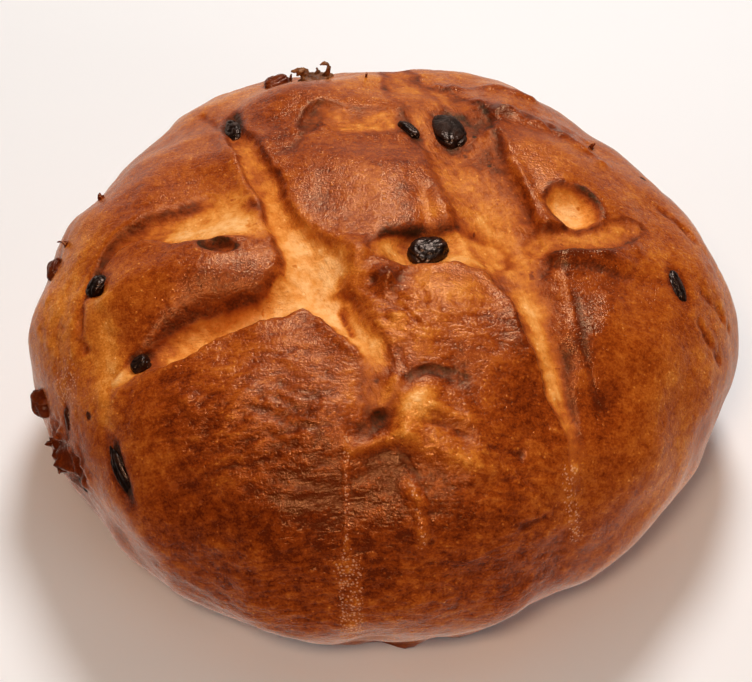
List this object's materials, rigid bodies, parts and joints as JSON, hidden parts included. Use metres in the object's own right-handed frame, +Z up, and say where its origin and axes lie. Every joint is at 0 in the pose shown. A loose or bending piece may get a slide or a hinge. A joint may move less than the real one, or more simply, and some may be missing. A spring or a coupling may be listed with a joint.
{
  "type": "julekake loaf",
  "caption": "Round domed loaf of brown Christmas bread, slashed across the top into swollen plates of crust, with raisins and a shred of peel in it; stands on its flat base.",
  "frame": {"origin": "middle of the flat base that the loaf stands on", "axes": "+Z up, +X to the right and +Y to the back as the picture shows the loaf"},
  "size_m": [0.2278, 0.2117, 0.1025],
  "materials": {
    "crust": "egg-washed crust, satin sheen on the plates, matte and golden in the gashes",
    "raisin": "wrinkled, dark and slightly glossy",
    "peel": "browned candied peel, satin"
  },
  "bodies": {
    "root": {"loaf": "crust", "raisin_01": "raisin", "raisin_02": "raisin", "raisin_03": "raisin", "raisin_04": "raisin", "raisin_05": "raisin", "raisin_06": "raisin", "raisin_07": "raisin", "raisin_08": "raisin", "raisin_09": "raisin", "raisin_10": "raisin", "raisin_11": "raisin", "raisin_12": "raisin", "raisin_13": "raisin", "raisin_14": "raisin", "raisin_15": "raisin", "raisin_16": "raisin", "raisin_17": "raisin", "raisin_18": "raisin", "peel_shred": "peel"}
  },
  "joints": []
}
